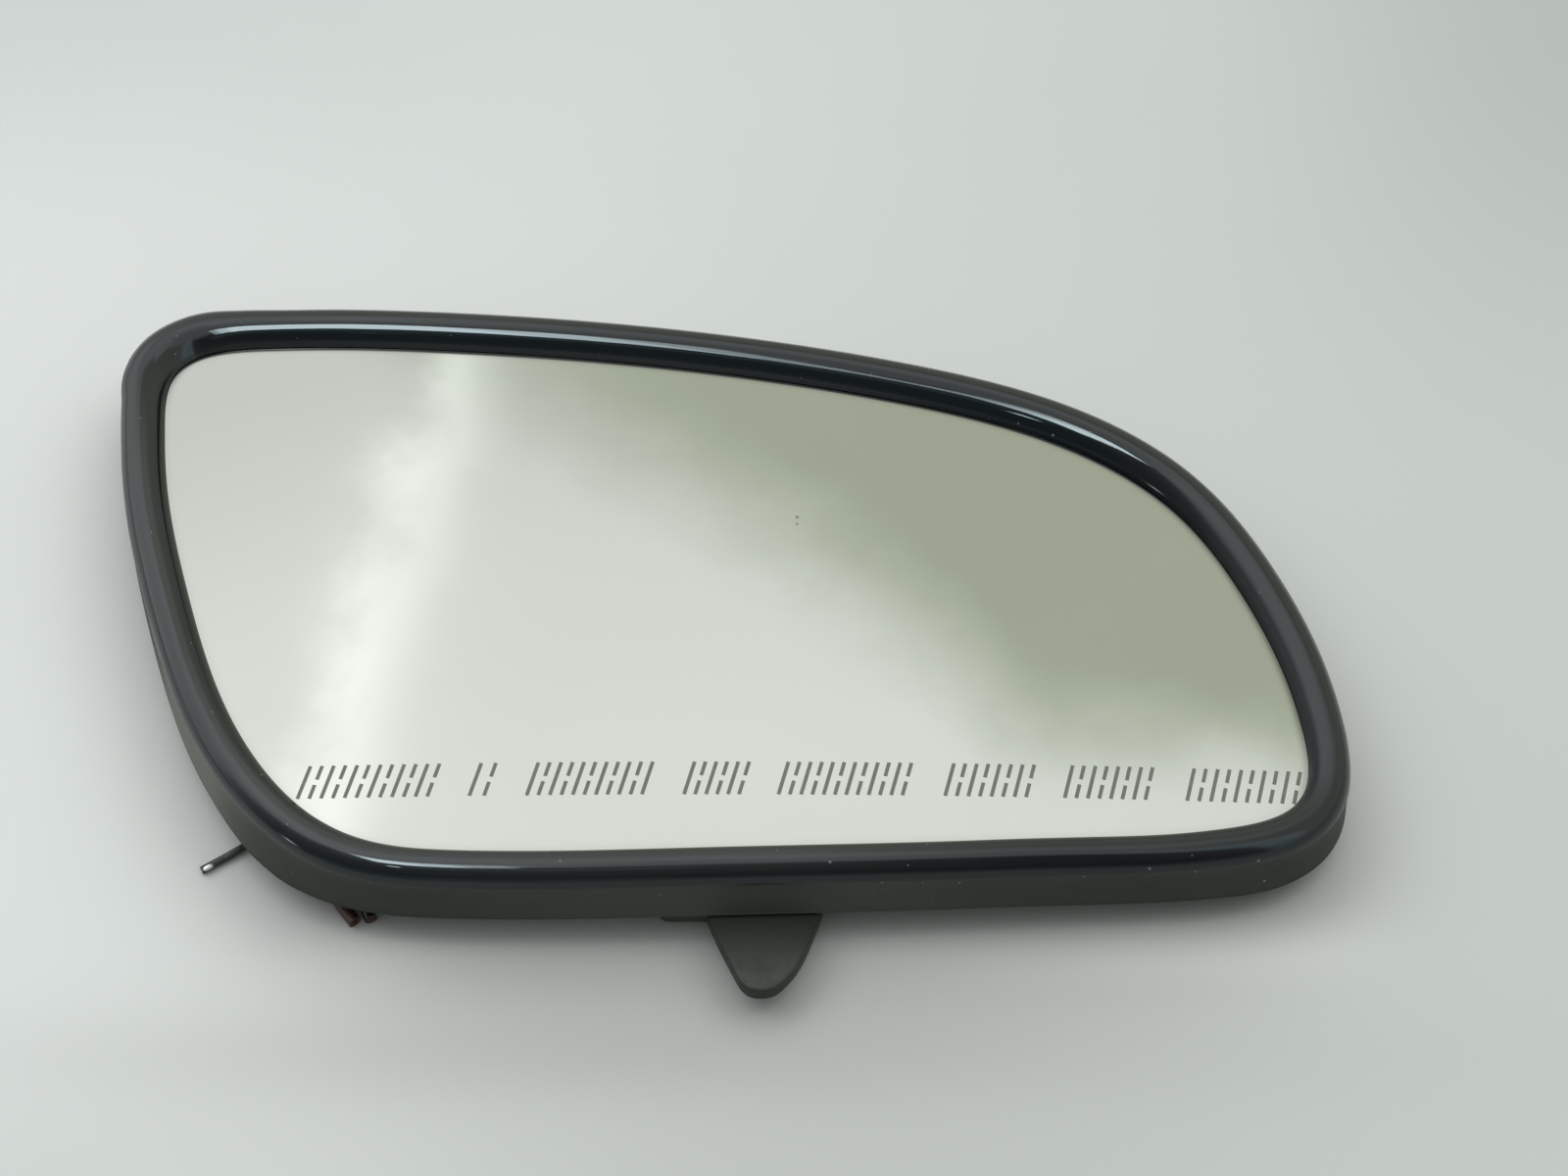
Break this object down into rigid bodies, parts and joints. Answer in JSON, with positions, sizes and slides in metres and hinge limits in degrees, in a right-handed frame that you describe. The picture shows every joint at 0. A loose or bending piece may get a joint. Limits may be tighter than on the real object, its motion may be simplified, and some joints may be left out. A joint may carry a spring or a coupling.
{
  "type": "car door mirror glass",
  "caption": "Convex heated door mirror glass in a deep glossy surround, on a carrier whose locking ring is released by a lever at the lower edge; heater leads cut short.",
  "frame": {"origin": "centre of the actuator pilot boss's mouth, in the plane of the collar's rim that the unit lies on", "axes": "+X along the glass to the viewer's right, +Y towards the glass's upper edge, +Z out of the glass"},
  "size_m": [0.1962, 0.126, 0.0176],
  "materials": {
    "mirror_glass": "silvered convex glass, a faint warm grey tint, a few dust specks",
    "foil": "translucent amber film with printed metal tracks",
    "carrier_plastic": "black moulded plastic, fine spark texture",
    "gloss_black": "glossy black moulded plastic, fine scuffs and dust",
    "ring_plastic": "dull dark grey-black moulded plastic, dirty at the tongue's tip",
    "tab_metal": "stamped brass",
    "terminal_metal": "tin-plated brass, stamped",
    "sleeve_vinyl": "milky soft vinyl",
    "black_insulation": "satin vinyl",
    "brown_insulation": "satin vinyl",
    "dark_insulation": "satin vinyl"
  },
  "bodies": {
    "mirror": {"mirror_glass": "mirror_glass", "heater_foil": "foil", "backing_plate": "carrier_plastic", "bezel_frame": "gloss_black", "black_tab": "tab_metal", "brown_tab": "tab_metal", "thin_tab": "tab_metal", "black_terminal": "terminal_metal", "brown_terminal": "terminal_metal", "thin_terminal": "terminal_metal", "black_sleeve": "sleeve_vinyl", "brown_sleeve": "sleeve_vinyl", "thin_sleeve": "sleeve_vinyl", "black_wire": "black_insulation", "brown_wire": "brown_insulation", "thin_wire": "dark_insulation"},
    "ring": {"locking_ring": "ring_plastic"}
  },
  "joints": [
    {"name": "lock_release", "type": "hinge", "parent": "mirror", "child": "ring", "pos_m": [0, 0, 0.0051], "axis": [0, 0, 1], "range_deg": [-16, 0]}
  ]
}
